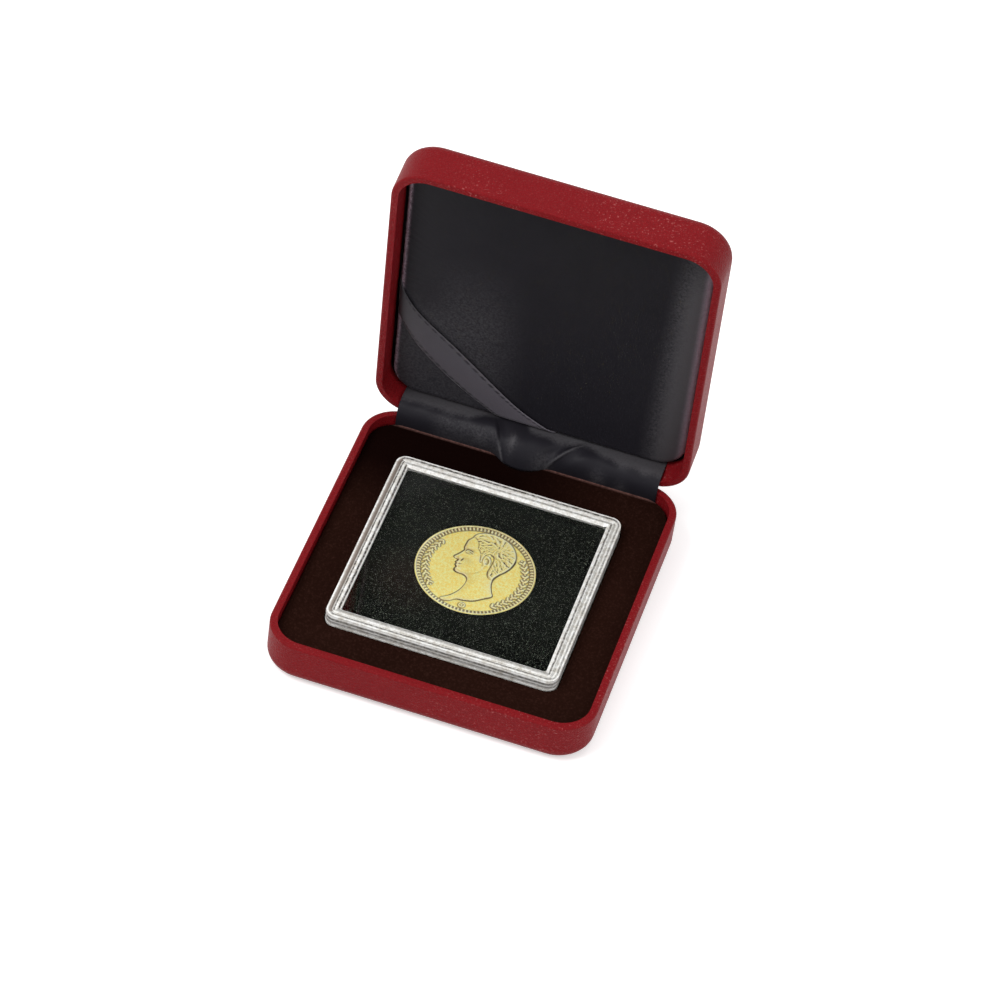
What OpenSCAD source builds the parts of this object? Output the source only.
// Hinged presentation case for one coin: a shallow base with a flocked tray, a clear
// square capsule that holds the coin in foam, and a padded lid on a snap hinge.
// Millimetres. X runs along the front, Y goes back to the hinge, Z is up, and the
// origin is the centre of the face that the case stands on. The lid is drawn open.

/* [Case] */
// Width of the case along its front
case_w = 70; // [66:0.5:90]
// Depth of the case from front to hinge
case_d = 74; // [70:0.5:95]
// Height of the base up to its rim
base_h = 10; // [9.6:0.1:14]
// Height of the lid from its rim to its top
lid_h = 10.8; // [10.2:0.1:15]
// Radius of the corners seen from above
corner_r = 8; // [6:0.5:12]
// Rounding of the edge round the underside and the lid's top
edge_r = 2.8; // [1.5:0.1:3.2]
// Rounding of the rolled rim
rim_r = 0.5; // [0.4:0.05:0.7]
// Gap between the two rims when the case is shut
rim_gap = 0.25; // [0.2:0.05:0.6]
// How far the lid stands open at its stop, in degrees
open_angle = 84; // [80:1:84]

/* [Walls] */
// Thickness of the leatherette that covers the shells
skin_t = 0.35; // [0.3:0.05:0.45]
// Wall of the moulded shells
shell_wall = 0.9; // [0.8:0.05:1.3]
// Floor of the moulded shells
shell_floor = 1.2; // [1:0.1:1.6]
// How far the leatherette is turned in below the rim
turn_in = 6; // [5:0.5:7]
// Thickness of the sheet under the base
foot_t = 0.4; // [0.3:0.05:0.6]
// How far that sheet stands proud of the leatherette
foot_proud = 0.1; // [0.05:0.05:0.15]
// Margin of leatherette that is left round the sheet
foot_margin = 6; // [5:0.5:8]
// Glue line between pieces that are stuck together
glue = 0.03; // [0.02:0.01:0.05]

/* [Hinge] */
// Distance from the back face in to the pin
pin_inset = 0.35; // [0.3:0.05:0.45]
// Height of the pin above the lid's rim when shut
pin_rise = 0.3; // [0.2:0.05:0.4]
// Radius of the hinge pin
pin_r = 0.35; // [0.3:0.01:0.4]
// Running clearance round the pin
pin_gap = 0.03; // [0.02:0.01:0.05]
// Outer radius of the knuckles
knuckle_r = 0.75; // [0.7:0.01:0.8]
// Number of knuckles along the pin
knuckle_n = 7; // [3:2:11]
// Length of the row of knuckles
knuckle_w = 34; // [24:1:36]
// Gap between one knuckle and the next
knuckle_gap = 0.3; // [0.2:0.05:0.5]
// Width of the hinge leaves
leaf_w = 46; // [42:1:48]
// Length of a leaf down its wall
leaf_l = 4; // [3.5:0.1:4.4]
// Thickness of the hinge steel
leaf_t = 0.35; // [0.3:0.05:0.35]
// Radius of the rivets' shanks
rivet_r = 0.6; // [0.5:0.05:0.8]
// Width of the rivets' heads round their shanks
rivet_head = 0.4; // [0.2:0.05:0.5]
// Height of the rivets' heads
rivet_head_t = 0.12; // [0.1:0.01:0.15]
// Spacing of the three rivets in each leaf
rivet_step = 15; // [12:0.5:16]
// Width of each snap spring
spring_w = 3; // [2:0.1:3.4]
// Thickness of each snap spring
spring_t = 0.15; // [0.1:0.01:0.18]
// Length of the feet by which the snap springs are held
spring_foot = 2; // [1.5:0.1:2.4]

/* [Tray] */
// Depth of the flocked tray's face below the rim
tray_drop = 2.1; // [1.8:0.1:2.6]
// Thickness of the flocked tray
tray_t = 0.9; // [0.8:0.1:1.2]
// Rounding of the tray's outer edge
tray_edge_r = 0.6; // [0.4:0.1:0.8]
// Gap between the tray and the walls round it
tray_gap = 0.3; // [0.25:0.05:0.5]
// Gap that is left behind the tray for the satin
satin_gap = 0.8; // [0.7:0.05:1]
// Radius of the finger notch in the tray's back edge
notch_r = 7; // [6:0.5:9]
// Depth of that notch
notch_depth = 2.9; // [2.4:0.1:3.2]
// How far the notch lies to the left of the middle
notch_left = 1; // [0:0.5:3]
// Radius of the notch's shoulders
notch_shoulder = 4; // [2:0.5:6]
// Clearance round the capsule in its recess
recess_gap = 0.3; // [0.25:0.05:0.5]
// How far the recess lies in front of the centre
recess_forward = 1.1; // [0.5:0.1:1.5]

/* [Capsule] */
// Outside width of the square capsule
cap_w = 50; // [49:0.5:51]
// Thickness of the closed capsule
cap_h = 6.2; // [6:0.1:6.4]
// How far the closed capsule stands above the tray
cap_proud = 2.6; // [2.2:0.1:2.8]
// Radius of the capsule's corners
cap_corner_r = 2.4; // [2:0.1:3]
// Rounding of the capsule's outer edges
cap_edge_r = 0.6; // [0.4:0.1:0.7]
// Width of the frame round the window
cap_frame = 2.9; // [2.7:0.1:3.2]
// Thickness of the window and of the capsule's floor
cap_plate = 0.7; // [0.6:0.1:0.9]
// Depth of the window below the frame's top
cap_window_drop = 0.5; // [0.4:0.1:0.6]
// Width of the slope from the frame down to the window
cap_bevel = 0.7; // [0.4:0.1:0.9]
// Distance of the groove in the frame from the capsule's edge
cap_groove_in = 1; // [0.9:0.05:1.1]
// Width of that groove
cap_groove_w = 0.3; // [0.2:0.05:0.4]
// Depth of that groove
cap_groove_d = 0.2; // [0.1:0.05:0.25]
// Height over which the two halves overlap
cap_overlap = 0.9; // [0.7:0.1:1]
// Clearance between the two halves
cap_fit = 0.08; // [0.05:0.01:0.12]
// Wall of the step that locates the halves
cap_step = 1.3; // [1.2:0.1:1.5]

/* [Coin] */
// Diameter of the coin
coin_d = 25.4; // [20:0.1:27]
// Thickness of the coin at its rim
coin_t = 1.8; // [1.5:0.1:2.2]
// Width of the coin's raised rim
coin_rim = 0.9; // [0.6:0.1:1.2]
// Depth of the coin's field below its rim
coin_field = 0.2; // [0.1:0.05:0.3]
// Clearance between the coin and the foam
coin_gap = 0.05; // [0.03:0.01:0.1]
// Clearance over and round the foam in the capsule
foam_gap = 0.1; // [0.05:0.05:0.2]

/* [Lid lining] */
// Depth of the padded lining below the lid's rim
pad_depth = 4.2; // [4:0.1:4.6]
// How far the middle of the pad swells out
pad_crown = 0.15; // [0.1:0.05:0.2]
// Gap between the pad and the walls round it
pad_gap = 0.75; // [0.6:0.05:1]
// Height of the pad's rolled edge
pad_roll = 2; // [1.6:0.1:2.6]
// Width over which that edge rounds into the face
pad_roll_w = 5.5; // [3:0.5:8]
// How far the pad's sides are drawn in at the board
pad_draw = 0.5; // [0.3:0.1:0.7]
// Thickness of the satin
satin_t = 0.25; // [0.2:0.05:0.3]
// Thickness of the card behind the pad
board_t = 1; // [0.8:0.1:1.4]
// Width of the ribbon
ribbon_w = 7.5; // [6:0.5:9]
// Thickness of the ribbon
ribbon_t = 0.2; // [0.15:0.05:0.25]
// Distance from the lid's side to where the ribbon meets the hinge side
ribbon_run = 30.5; // [24:0.5:34]
// Distance from the hinge side to where the ribbon meets the lid's side
ribbon_rise = 30; // [24:0.5:34]
// How far the slack ribbon hangs out of line
ribbon_sag = 1.8; // [0.5:0.1:2.5]
// Gap between the ribbon and the pad
ribbon_gap = 0.12; // [0.1:0.02:0.2]

/* [Satin flap] */
// Width of the satin flap that hides the hinge
flap_w = 58; // [50:1:59]
// Reach of the flap's lower end below the tray's face
flap_tuck = 2.2; // [1.5:0.1:2.6]
// How far the flap stands up from the tray before it turns to the lid
flap_rise = 6; // [4:0.5:7]
// Room left in front of the flap where it bellies out into the tray's notch
flap_notch_gap = 0.3; // [0.2:0.05:0.6]
// Height of the two main creases
flap_crease = 0.5; // [0.2:0.05:0.6]
// Half width of those creases
flap_crease_w = 1.8; // [1.2:0.1:2.4]
// Where the left crease starts under the lid, left of the middle
flap_crease_left = 13; // [8:0.5:18]
// Where the right crease starts under the lid, right of the middle
flap_crease_right = 17; // [12:0.5:22]
// Height of the fine waves all along the satin
flap_wave = 0.12; // [0.05:0.01:0.2]

/* [Hidden] */

$fn = 64;
eps = 0.01;

rim_w = 2 * skin_t + shell_wall;
cavity_w = case_w - 2 * rim_w;
cavity_d = case_d - 2 * rim_w;
cavity_r = corner_r - rim_w;
shell_z = foot_proud + skin_t;
floor_z = shell_z + shell_floor;
lid_floor = skin_t + shell_floor;

// The pin's axis, seen from the side
pin_y = case_d / 2 - pin_inset;
pin_z = base_h + rim_gap + pin_rise;
lid_top_z = base_h + rim_gap + lid_h;

// The hinge leaves lie flush in the back walls
leaf_y = cavity_d / 2;
finger_back = pin_y - knuckle_r + leaf_t;
barrel_clear = knuckle_r + 0.2;
finger_h = 1;
knuckle_step = knuckle_w / knuckle_n;
rivet_drop = leaf_l / 2 - 0.3;
spring_x = leaf_w / 2 - spring_w / 2 - 1;

tray_z = base_h - tray_drop;
tray_front = -cavity_d / 2 + tray_gap;
tray_back = cavity_d / 2 - satin_gap;
tray_w = cavity_w - 2 * tray_gap;
tray_d = tray_back - tray_front;
tray_y = (tray_front + tray_back) / 2;
tray_r = cavity_r - tray_gap;
recess_y = -recess_forward;
recess_w = cap_w + 2 * recess_gap;
recess_r = cap_corner_r + recess_gap;
cap_top_z = tray_z + cap_proud;
cap_z = cap_top_z - cap_h;
recess_floor_z = cap_z - 0.05;
skirt_z = floor_z + 1.2;

window_w = cap_w - 2 * cap_frame;
window_r = 1;
plate_top = cap_h - cap_window_drop;
plate_low = plate_top - cap_plate;
foam_h = plate_low - cap_plate - 2 * foam_gap;
foam_top = cap_plate + foam_gap + foam_h;
seam_z = plate_low - cap_overlap - 0.35;
step_w = cap_w - 2 * cap_step;

pad_w = cavity_w - 2 * pad_gap;
pad_d = cavity_d - 2 * pad_gap;
pad_r = cavity_r - pad_gap;
pad_h = lid_h - pad_depth - lid_floor;
pad_corner_steps = 6;
pad_edge_steps = 5;

// Solids with true round edges

// Half of an upright slice from the middle out to radius r
module edge_slice(r, h, low_r, top_r) {
    square([r - low_r, h]);
    translate([0, low_r]) square([r - top_r, h - low_r]);
    translate([0, low_r]) square([r, h - low_r - top_r]);
    if (low_r > 0) translate([r - low_r, low_r]) circle(low_r);
    translate([r - top_r, h - top_r]) circle(top_r);
}

// The whole slice across a box
module box_slice(w, h, low_r, top_r) {
    for (side = [0, 1])
        mirror([side, 0])
            translate([w / 2 - low_r - top_r - 1, 0])
                edge_slice(low_r + top_r + 1, h, low_r, top_r);
    translate([-w / 2 + low_r + top_r, 0]) square([w - 2 * low_r - 2 * top_r, h]);
}

// Rounded box that stands on z = 0, with round corners and round lower and upper edges
module soft_box(w, d, h, r, low_r, top_r) {
    for (turn = [0:3])
        translate([(turn % 3 == 0 ? 1 : -1) * (w / 2 - r), (turn < 2 ? 1 : -1) * (d / 2 - r), 0])
            rotate([0, 0, 90 * turn]) rotate_extrude(angle = 90) edge_slice(r, h, low_r, top_r);
    translate([-w / 2 + r, 0, 0])
        rotate([90, 0, 90]) linear_extrude(w - 2 * r) box_slice(d, h, low_r, top_r);
    translate([0, d / 2 - r, 0])
        rotate([90, 0, 0]) linear_extrude(d - 2 * r) box_slice(w, h, low_r, top_r);
}

// Rectangle with round corners
module plan(w, d, r) {
    square([w, d - 2 * r], center = true);
    square([w - 2 * r, d], center = true);
    for (sx = [-1, 1], sy = [-1, 1])
        translate([sx * (w / 2 - r), sy * (d / 2 - r)]) circle(r);
}

module slab(w, d, r, z0, z1) {
    translate([0, 0, z0]) linear_extrude(z1 - z0) plan(w, d, r);
}

// Cylinder along X on the pin's axis
module pin_line(r, length) {
    translate([-length / 2, pin_y, pin_z]) rotate([0, 90, 0]) cylinder(r = r, h = length);
}

// Carries a piece that is drawn shut to where the open lid holds it
module on_lid() {
    translate([0, pin_y, pin_z])
        rotate([-open_angle, 0, 0])
            translate([0, -pin_y, -pin_z]) children();
}

// Draws a lid piece upside down, from its outer top at z = 0 to its rim at z = lid_h
module lid_up() {
    on_lid() translate([0, 0, lid_top_z]) mirror([0, 0, 1]) children();
}

// Where a point of the shut case goes when the lid opens, as [y, z]
function opened(y, z) =
    let (dy = y - pin_y, dz = z - pin_z)
    [pin_y + dy * cos(open_angle) + dz * sin(open_angle),
     pin_z - dy * sin(open_angle) + dz * cos(open_angle)];

// Shells and covers

// Room for the hinge leaf and its fingers in a back wall whose rim is at rim_z
module leaf_pocket(rim_z) {
    low = rim_z - finger_h - leaf_l;
    translate([-leaf_w / 2 - glue, leaf_y - eps, low - glue])
        cube([leaf_w + 2 * glue, leaf_t + glue + eps, rim_z + 1 - low]);
    translate([-leaf_w / 2 - glue, leaf_y - eps, rim_z - finger_h - glue])
        cube([leaf_w + 2 * glue, finger_back - leaf_y + 0.1, finger_h + 1]);
}

// Positions of the rivets in a leaf whose rim is at rim_z
module at_rivets(rim_z) {
    for (k = [-1:1])
        translate([k * rivet_step, leaf_y, rim_z - finger_h - rivet_drop])
            rotate([-90, 0, 0]) children();
}

module rivet_holes(rim_z) {
    at_rivets(rim_z) translate([0, 0, -eps]) cylinder(r = rivet_r + glue, h = rim_w - skin_t - 0.1);
}

module base_shell() {
    color("dimgray")
        difference() {
            translate([0, 0, shell_z])
                soft_box(case_w - 2 * skin_t - 2 * glue, case_d - 2 * skin_t - 2 * glue,
                         base_h - skin_t - glue - shell_z, corner_r - skin_t - glue,
                         edge_r - skin_t, rim_r - skin_t);
            slab(cavity_w + 2 * skin_t, cavity_d + 2 * skin_t, cavity_r + skin_t, floor_z, base_h + 1);
            leaf_pocket(base_h);
            pin_line(barrel_clear + skin_t, knuckle_w + 1);
            rivet_holes(base_h);
        }
}

// Leatherette over the outside, over the rim and down the inside
module cover_form(height, low_open) {
    difference() {
        soft_box(case_w, case_d, height, corner_r, edge_r, rim_r);
        difference() {
            translate([0, 0, skin_t])
                soft_box(case_w - 2 * skin_t, case_d - 2 * skin_t, height - 2 * skin_t,
                         corner_r - skin_t, edge_r - skin_t, rim_r - skin_t);
            difference() {
                slab(cavity_w + 2 * skin_t - 2 * glue, cavity_d + 2 * skin_t - 2 * glue,
                     cavity_r + skin_t - glue, height - turn_in, height);
                slab(cavity_w, cavity_d, cavity_r, height - turn_in - 1, height + 1);
            }
        }
        slab(cavity_w, cavity_d, cavity_r, height - turn_in, height + 1);
        if (low_open > 0)
            slab(case_w - 2 * low_open, case_d - 2 * low_open, corner_r, -1, skin_t + 1);
    }
}

module base_cover() {
    color("firebrick")
        difference() {
            translate([0, 0, foot_proud]) cover_form(base_h - foot_proud, foot_margin);
            leaf_pocket(base_h);
            pin_line(barrel_clear, knuckle_w + 1);
        }
}

module bottom_sheet() {
    color("brown")
        slab(case_w - 2 * foot_margin - 0.4, case_d - 2 * foot_margin - 0.4, corner_r - 0.2, 0, foot_t);
}

module lid_shell() {
    color("dimgray")
        lid_up() difference() {
            translate([0, 0, skin_t + glue])
                soft_box(case_w - 2 * skin_t - 2 * glue, case_d - 2 * skin_t - 2 * glue,
                         lid_h - 2 * skin_t - 2 * glue, corner_r - skin_t - glue,
                         edge_r - skin_t, rim_r - skin_t);
            slab(cavity_w + 2 * skin_t, cavity_d + 2 * skin_t, cavity_r + skin_t, lid_floor, lid_h + 1);
            leaf_pocket(lid_h);
            lid_pin_clear();
            rivet_holes(lid_h);
        }
}

// Room round the knuckles in the lid's rim, drawn upside down like the lid
module lid_pin_clear() {
    translate([-knuckle_w / 2 - 0.5, pin_y, lid_h - pin_rise])
        rotate([0, 90, 0]) cylinder(r = barrel_clear, h = knuckle_w + 1);
}

module lid_cover() {
    color("firebrick")
        lid_up() difference() {
            cover_form(lid_h, 0);
            leaf_pocket(lid_h);
            lid_pin_clear();
        }
}

// Tray

// Half the notch's width, where its soft shoulders run out into the straight edge
notch_half = sqrt(pow(notch_r + notch_shoulder, 2) - pow(notch_r + notch_shoulder - notch_depth, 2));
notch_steps = 32;

// Depth of the notch at a distance from its middle: a shoulder, or the round bottom
function notch_at(x) =
    let (dx = min(abs(x), notch_half))
    dx > notch_half * notch_r / (notch_r + notch_shoulder)
    ? notch_shoulder - sqrt(pow(notch_shoulder, 2) - pow(notch_half - dx, 2))
    : sqrt(pow(notch_r, 2) - pow(dx, 2)) - notch_r + notch_depth;

// Finger notch in the back edge of a piece, moved forward by some room
module notch(room) {
    edge = [
        for (k = [-notch_steps:notch_steps])
            let (x = notch_half * k / notch_steps) [x - notch_left, tray_back - room - notch_at(x)]
    ];
    translate([0, 0, skirt_z - 2])
        linear_extrude(base_h) polygon(concat(edge, [
            [notch_half - notch_left, tray_back + 1], [-notch_half - notch_left, tray_back + 1]
        ]));
}

module at_recess() {
    translate([0, recess_y, 0]) children();
}

module flocked_tray() {
    color([0.16, 0.07, 0.05])
        difference() {
            union() {
                difference() {
                    translate([0, tray_y, skirt_z])
                        soft_box(tray_w, tray_d, tray_z - skirt_z, tray_r, 0, tray_edge_r);
                    translate([0, tray_y, 0])
                        slab(tray_w - 2 * tray_t, tray_d - 2 * tray_t, tray_r - tray_t,
                             skirt_z - 1, tray_z - tray_t);
                }
                at_recess()
                    slab(recess_w + 2 * tray_t, recess_w + 2 * tray_t, recess_r + tray_t,
                         recess_floor_z - tray_t, tray_z - tray_t / 2);
            }
            at_recess() slab(recess_w, recess_w, recess_r, recess_floor_z, tray_z + 1);
            notch(0);
        }
}

module tray_support() {
    w = tray_w - 2 * tray_t - 0.6;
    d = tray_d - 2 * tray_t - 0.6;
    color("tan")
        difference() {
            translate([0, tray_y, 0])
                slab(w, d, tray_r - tray_t - 0.3, floor_z + glue, tray_z - tray_t - glue);
            at_recess()
                slab(recess_w + 2 * tray_t + 0.4, recess_w + 2 * tray_t + 0.4, recess_r + tray_t + 0.2,
                     recess_floor_z - tray_t - glue, tray_z);
            notch(0.4);
        }
}

// Capsule

module in_recess() {
    translate([0, recess_y, cap_z]) children();
}

module capsule_base() {
    color("whitesmoke", 0.4)
        in_recess() difference() {
            union() {
                soft_box(cap_w, cap_w, seam_z, cap_corner_r, cap_edge_r, 0.1);
                slab(step_w, step_w, cap_corner_r - cap_step, cap_plate, seam_z + cap_overlap);
            }
            slab(window_w, window_w, window_r, cap_plate, cap_h);
        }
}

module capsule_top() {
    socket_w = step_w + 2 * cap_fit;
    groove_w = cap_w - 2 * cap_groove_in;
    bevel_h = cap_window_drop + eps;
    color("whitesmoke", 0.4)
        in_recess() difference() {
            translate([0, 0, seam_z + cap_fit])
                soft_box(cap_w, cap_w, cap_h - seam_z - cap_fit, cap_corner_r, 0.1, cap_edge_r);
            slab(socket_w, socket_w, cap_corner_r - cap_step + cap_fit, 0, seam_z + cap_overlap + cap_fit);
            slab(window_w, window_w, window_r, 0, plate_low);
            translate([0, 0, plate_top])
                linear_extrude(bevel_h, scale = 1 + 2 * cap_bevel / window_w)
                    plan(window_w, window_w, window_r);
            difference() {
                slab(groove_w, groove_w, cap_corner_r - cap_groove_in, cap_h - cap_groove_d, cap_h + 1);
                slab(groove_w - 2 * cap_groove_w, groove_w - 2 * cap_groove_w,
                     cap_corner_r - cap_groove_in - cap_groove_w, 0, cap_h + 2);
            }
        }
}

module foam_inlay() {
    foam_w = window_w - 2 * foam_gap;
    color([0.12, 0.13, 0.12])
        in_recess() difference() {
            slab(foam_w, foam_w, window_r - foam_gap, cap_plate + foam_gap, foam_top);
            translate([0, 0, foam_top - coin_t - foam_gap])
                cylinder(r = coin_d / 2 + coin_gap, h = coin_t + 1);
        }
}

module coin() {
    field_r = coin_d / 2 - coin_rim;
    color("gold")
        in_recess() translate([0, 0, foam_top - coin_t]) difference() {
            cylinder(r = coin_d / 2, h = coin_t);
            translate([0, 0, coin_t - coin_field]) cylinder(r = field_r, h = 1);
            translate([0, 0, coin_field - 1]) cylinder(r = field_r, h = 1);
        }
}

// Hinge

// Leaf against a back wall whose rim is at rim_z, with every second knuckle on the axis
module hinge_leaf(rim_z, axis_z, first) {
    foot_z = rim_z - finger_h;
    difference() {
        union() {
            translate([-leaf_w / 2, leaf_y, foot_z - leaf_l]) cube([leaf_w, leaf_t, leaf_l]);
            for (k = [first:2:knuckle_n - 1])
                translate([-knuckle_w / 2 + k * knuckle_step + knuckle_gap / 2, 0, 0])
                    knuckle(foot_z, axis_z, knuckle_step - knuckle_gap);
        }
        translate([-knuckle_w, pin_y, axis_z])
            rotate([0, 90, 0]) cylinder(r = pin_r + pin_gap, h = 2 * knuckle_w);
        at_rivets(rim_z) translate([0, 0, -eps]) cylinder(r = rivet_r + glue, h = leaf_t + 1);
    }
}

// One knuckle and the cranked finger that carries it
module knuckle(foot_z, axis_z, length) {
    translate([0, leaf_y, foot_z - leaf_t]) cube([length, leaf_t, 2 * leaf_t]);
    translate([0, leaf_y, foot_z]) cube([length, finger_back - leaf_y, leaf_t]);
    translate([0, finger_back - leaf_t, foot_z]) cube([length, leaf_t, axis_z - foot_z]);
    translate([0, pin_y, axis_z]) rotate([0, 90, 0]) cylinder(r = knuckle_r, h = length);
}

module hinge_leaf_base() {
    color("silver") hinge_leaf(base_h, pin_z, 0);
}

module hinge_leaf_lid() {
    color("silver") lid_up() hinge_leaf(lid_h, lid_h - pin_rise, 1);
}

module hinge_pin() {
    color("gainsboro") pin_line(pin_r, knuckle_w);
}

module rivets(rim_z) {
    at_rivets(rim_z) {
        cylinder(r = rivet_r, h = rim_w - skin_t - 0.15);
        translate([0, 0, -rivet_head_t]) cylinder(r = rivet_r + rivet_head, h = rivet_head_t);
    }
}

module base_rivets() {
    color("gray") rivets(base_h);
}

module lid_rivets() {
    color("gray") lid_up() rivets(lid_h);
}

// Cubic curve through four control points
function bend(p, t) =
    pow(1 - t, 3) * p[0] + 3 * t * pow(1 - t, 2) * p[1] + 3 * t * t * (1 - t) * p[2] + t * t * t * p[3];

function bend_slope(p, t) =
    3 * pow(1 - t, 2) * (p[1] - p[0]) + 6 * t * (1 - t) * (p[2] - p[1]) + 3 * t * t * (p[3] - p[2]);

function unit(v) = v / norm(v);

// The strips start on the base's leaf, bow round the pin and end on the lid's leaf
spring_y = leaf_y - spring_t / 2 - 0.03;
spring_low = [spring_y, base_h - finger_h - 0.6 - spring_foot];
spring_bow = [
    [spring_y, base_h - 0.6],
    [spring_y, pin_z + 0.45],
    [spring_y + 0.9, pin_z + 1.4],
    opened(spring_y, base_h + rim_gap + finger_h + 0.6)
];
spring_end = opened(spring_y, base_h + rim_gap + finger_h + 0.6 + spring_foot);
spring_line = concat([spring_low], [for (k = [0:8]) bend(spring_bow, k / 8)], [spring_end]);

// Sideways direction of a line at one of its points
function side_of(line, k) =
    let (a = line[max(k - 1, 0)], b = line[min(k + 1, len(line) - 1)], u = unit(b - a))
    [-u[1], u[0]];

module strip(line, thick, width) {
    half = thick / 2;
    left = [for (k = [0:len(line) - 1]) line[k] + half * side_of(line, k)];
    right = [for (k = [len(line) - 1:-1:0]) line[k] - half * side_of(line, k)];
    rotate([90, 0, 90]) linear_extrude(width, center = true) polygon(concat(left, right));
}

module snap_springs() {
    color("slategray")
        for (side = [-1, 1])
            translate([side * spring_x, 0, 0]) strip(spring_line, spring_t, spring_w);
}

// Closed skin over a grid of points, rows by columns, with a second grid behind it
module sheet_solid(front, back) {
    rows = len(front);
    cols = len(front[0]);
    size = rows * cols;
    points = concat([for (row = front, p = row) p], [for (row = back, p = row) p]);
    faces = concat(
        [for (r = [0:rows - 2], c = [0:cols - 2])
            each quad(r * cols + c, r * cols + c + 1, (r + 1) * cols + c + 1, (r + 1) * cols + c)],
        [for (r = [0:rows - 2], c = [0:cols - 2])
            each quad(size + (r + 1) * cols + c, size + (r + 1) * cols + c + 1,
                      size + r * cols + c + 1, size + r * cols + c)],
        [for (c = [0:cols - 2]) each quad(size + c, size + c + 1, c + 1, c)],
        [for (c = [0:cols - 2])
            let (b = (rows - 1) * cols + c)
            each quad(b, b + 1, size + b + 1, size + b)],
        [for (r = [0:rows - 2]) each quad(r * cols, (r + 1) * cols, size + (r + 1) * cols, size + r * cols)],
        [for (r = [0:rows - 2])
            let (b = r * cols + cols - 1)
            each quad(size + b, size + b + cols, b + cols, b)]
    );
    polyhedron(points, faces);
}

function quad(a, b, c, d) = [[a, b, c], [a, c, d]];

// Satin flap

flap_y = leaf_y - 0.55;
flap_bow = [
    opened(leaf_y - 0.45, base_h + rim_gap + pad_depth + 0.8),
    opened(leaf_y - 1.3, base_h + rim_gap + 2),
    [leaf_y - 1.2, tray_z + flap_rise],
    [flap_y, tray_z]
];
flap_rows = 12;
flap_tuck_rows = 2;
flap_cols = 40;

// Middle line of the flap and its direction at row k
function flap_line(k) =
    k <= flap_rows ? bend(flap_bow, k / flap_rows)
    : [flap_y, tray_z - flap_tuck * (k - flap_rows) / flap_tuck_rows];
function flap_side(k) =
    let (u = k <= flap_rows ? unit(bend_slope(flap_bow, k / flap_rows)) : [0, -1])
    [u[1], -u[0]];

function hump(x, mid, width) = exp(-pow((x - mid) / width, 2));

// How far the satin stands out in front of that line at x
function flap_out(x, k) =
    let (t = min(k / flap_rows, 1), past = max(k - flap_rows, 0) / flap_tuck_rows)
    notch_at(x + notch_left) * (1 - flap_notch_gap / notch_depth) * pow(t, 3) * (1 - 0.4 * past)
    + flap_crease * sin(180 * t)
      * (hump(x, -flap_crease_left * (1 - 0.7 * t), flap_crease_w)
         + hump(x, flap_crease_right * (1 - 0.7 * t), flap_crease_w))
    + flap_wave * sin(180 * t) * (1 + sin(x * 24));

function flap_point(x, k, lift) =
    let (p = flap_line(k) + (flap_out(x, k) + lift) * flap_side(k))
    [x, p[0], p[1]];

module hinge_flap() {
    rows = flap_rows + flap_tuck_rows;
    function grid(lift) = [
        for (k = [0:rows]) [
            for (c = [0:flap_cols]) flap_point(-flap_w / 2 + flap_w * c / flap_cols, k, lift)
        ]
    ];
    color([0.15, 0.14, 0.17]) sheet_solid(grid(satin_t / 2), grid(-satin_t / 2));
}

// Lid lining, drawn upside down like the lid

pad_top = lid_floor + pad_h;
pad_side_z = pad_top - pad_roll;

// How far the pad's side is drawn in at height z
function side_inset(z) = pad_draw * pow(max(pad_side_z - z, 0) / (pad_side_z - lid_floor), 2);

// Each ring of the pad as [inset, height], from a lower edge at z_low to the crown
function pad_profile(off, z_low) = concat(
    [for (k = [0:2]) let (z = z_low + (pad_side_z - z_low) * k / 3) [side_inset(z) + off, z]],
    [for (k = [0:5])
        let (a = 18 * k)
        [pad_roll_w - (pad_roll_w - off) * cos(a), pad_side_z + (pad_roll - off) * sin(a)]],
    [for (s = [0.15, 0.4, 0.8])
        [pad_roll_w + (pad_w / 2 - pad_roll_w - 1) * s, pad_top - off + pad_crown * (1 - pow(1 - s, 2))]]
);

// Outline of a rounded rectangle with a fixed number of points
function outline(w, d, r) = [
    for (q = [0:3])
        let (sx = (q == 0 || q == 3) ? 1 : -1, sy = q < 2 ? 1 : -1,
             next_sx = (q == 3 || q == 2) ? 1 : -1, next_sy = (q == 3 || q == 0) ? 1 : -1,
             last = [sx * (w / 2 - r), sy * (d / 2 - r)] + r * [cos(90 * q + 90), sin(90 * q + 90)],
             next = [next_sx * (w / 2 - r), next_sy * (d / 2 - r)] + r * [cos(90 * q + 90), sin(90 * q + 90)])
        each concat(
            [for (k = [0:pad_corner_steps])
                let (a = 90 * q + 90 * k / pad_corner_steps)
                [sx * (w / 2 - r), sy * (d / 2 - r)] + r * [cos(a), sin(a)]],
            [for (k = [1:pad_edge_steps - 1]) last + (next - last) * k / pad_edge_steps]
        )
];

// Those outlines one above the other
function pad_outlines(off, z_low) = [
    for (p = pad_profile(off, z_low))
        [for (q = outline(pad_w - 2 * p[0], pad_d - 2 * p[0], max(pad_r - p[0], 0.8))) [q[0], q[1], p[1]]]
];

// Closed solid from a first point, a stack of outlines and a last point
module stacked(first, rings, last) {
    around = len(rings[0]);
    end = 1 + len(rings) * around;
    side = [
        for (r = [0:len(rings) - 2], k = [0:around - 1])
            let (n = (k + 1) % around, b = 1 + r * around)
            each quad(b + k, b + around + k, b + around + n, b + n)
    ];
    caps = [
        for (k = [0:around - 1])
            let (n = (k + 1) % around)
            each [[0, 1 + k, 1 + n], [end, end - around + n, end - around + k]]
    ];
    polyhedron(concat([first], [for (ring = rings, p = ring) p], [last]), concat(side, caps));
}

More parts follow.
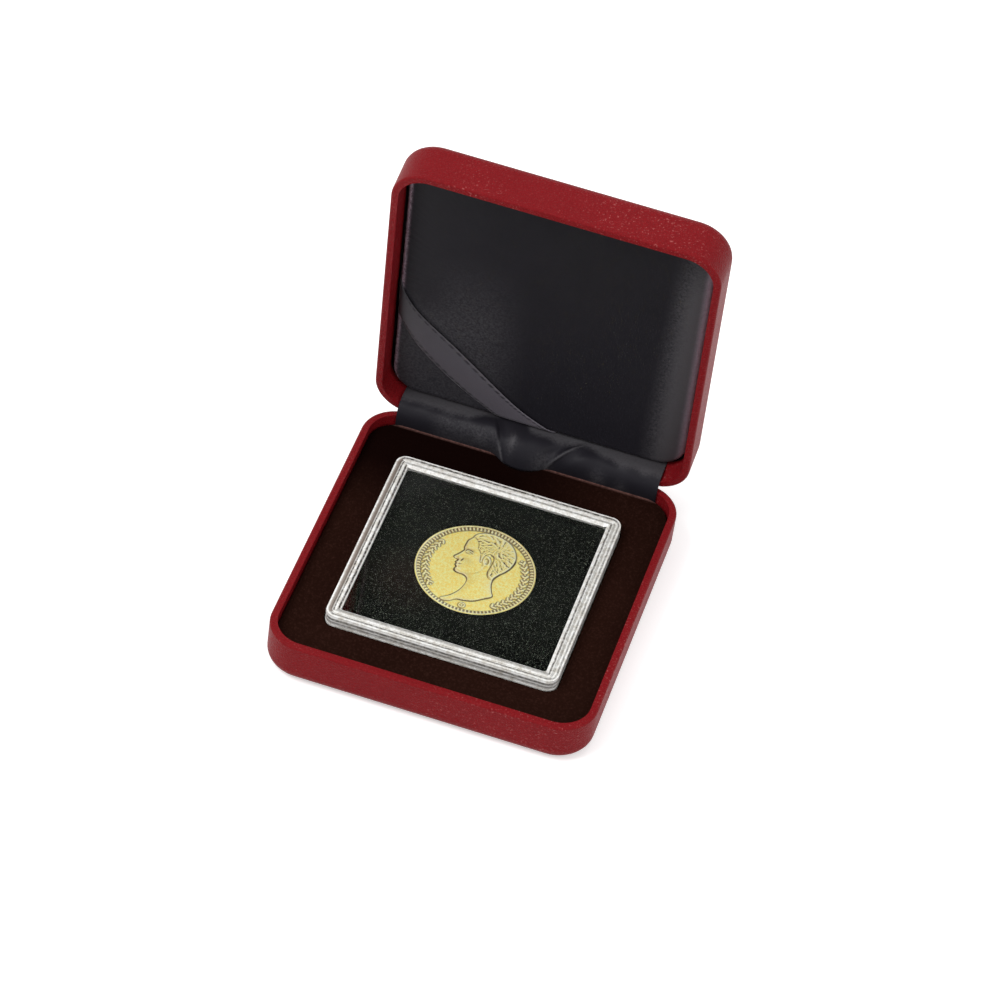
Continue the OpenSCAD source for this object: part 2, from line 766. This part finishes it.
module lid_board() {
    board_in = pad_draw + satin_t + 2 * glue;
    color("tan")
        lid_up() slab(pad_w - 2 * board_in, pad_d - 2 * board_in, pad_r - board_in,
                      lid_floor + glue, lid_floor + board_t);
}

module lid_wadding() {
    off = satin_t + glue;
    low = lid_floor + board_t + glue;
    color("ivory")
        lid_up() stacked([0, 0, low], pad_outlines(off, low), [0, 0, pad_top + pad_crown - off]);
}

module lid_satin() {
    low = lid_floor + glue;
    inner = pad_outlines(satin_t, low);
    turned = [for (k = [len(inner) - 1:-1:0]) inner[k]];
    color([0.13, 0.12, 0.15])
        lid_up() stacked([0, 0, pad_top + pad_crown - satin_t],
                         concat(turned, pad_outlines(0, low)),
                         [0, 0, pad_top + pad_crown]);
}

// Ribbon across the corner of the lining

ribbon_inset = 0.7;
ribbon_steps = 24;
ribbon_side = pad_w / 2 - ribbon_inset;
ribbon_hinge = pad_d / 2 - ribbon_inset;
ribbon_slope = atan2(ribbon_rise, ribbon_run);

// Height of the pad's face over a point in its plan
function pad_face(x, y) =
    let (inset = min(pad_w / 2 - abs(x), pad_d / 2 - abs(y)),
         roll = min(inset / pad_roll_w, 1),
         s = max(inset - pad_roll_w, 0) / (pad_w / 2 - pad_roll_w - 1))
    pad_side_z + pad_roll * sqrt(1 - pow(1 - roll, 2)) + pad_crown * (1 - pow(1 - min(s, 1), 2));

// Edge of the ribbon in plan, away from its middle line by half its width
function ribbon_edge(side, t) =
    let (half = side * ribbon_w / 2,
         start = [-ribbon_side, cavity_d / 2 - ribbon_rise + half / cos(ribbon_slope)],
         end = [-cavity_w / 2 + ribbon_run - half / sin(ribbon_slope), ribbon_hinge],
         out = ribbon_sag * 4 * t * (1 - t) * [-sin(ribbon_slope), cos(ribbon_slope)])
    start + (end - start) * t + out;

function ribbon_point(side, t, lift) =
    let (p = ribbon_edge(side, t)) [p[0], p[1], pad_face(p[0], p[1]) + ribbon_gap + lift];

module ribbon() {
    function grid(lift) = [
        for (side = [1, 0, -1]) [for (k = [0:ribbon_steps]) ribbon_point(side, k / ribbon_steps, lift)]
    ];
    color([0.27, 0.26, 0.3]) lid_up() sheet_solid(grid(ribbon_t), grid(0));
}

base_shell();
base_cover();
bottom_sheet();
tray_support();
flocked_tray();
capsule_base();
capsule_top();
foam_inlay();
coin();
hinge_leaf_base();
hinge_leaf_lid();
hinge_pin();
base_rivets();
lid_rivets();
snap_springs();
hinge_flap();
lid_shell();
lid_cover();
lid_board();
lid_wadding();
lid_satin();
ribbon();
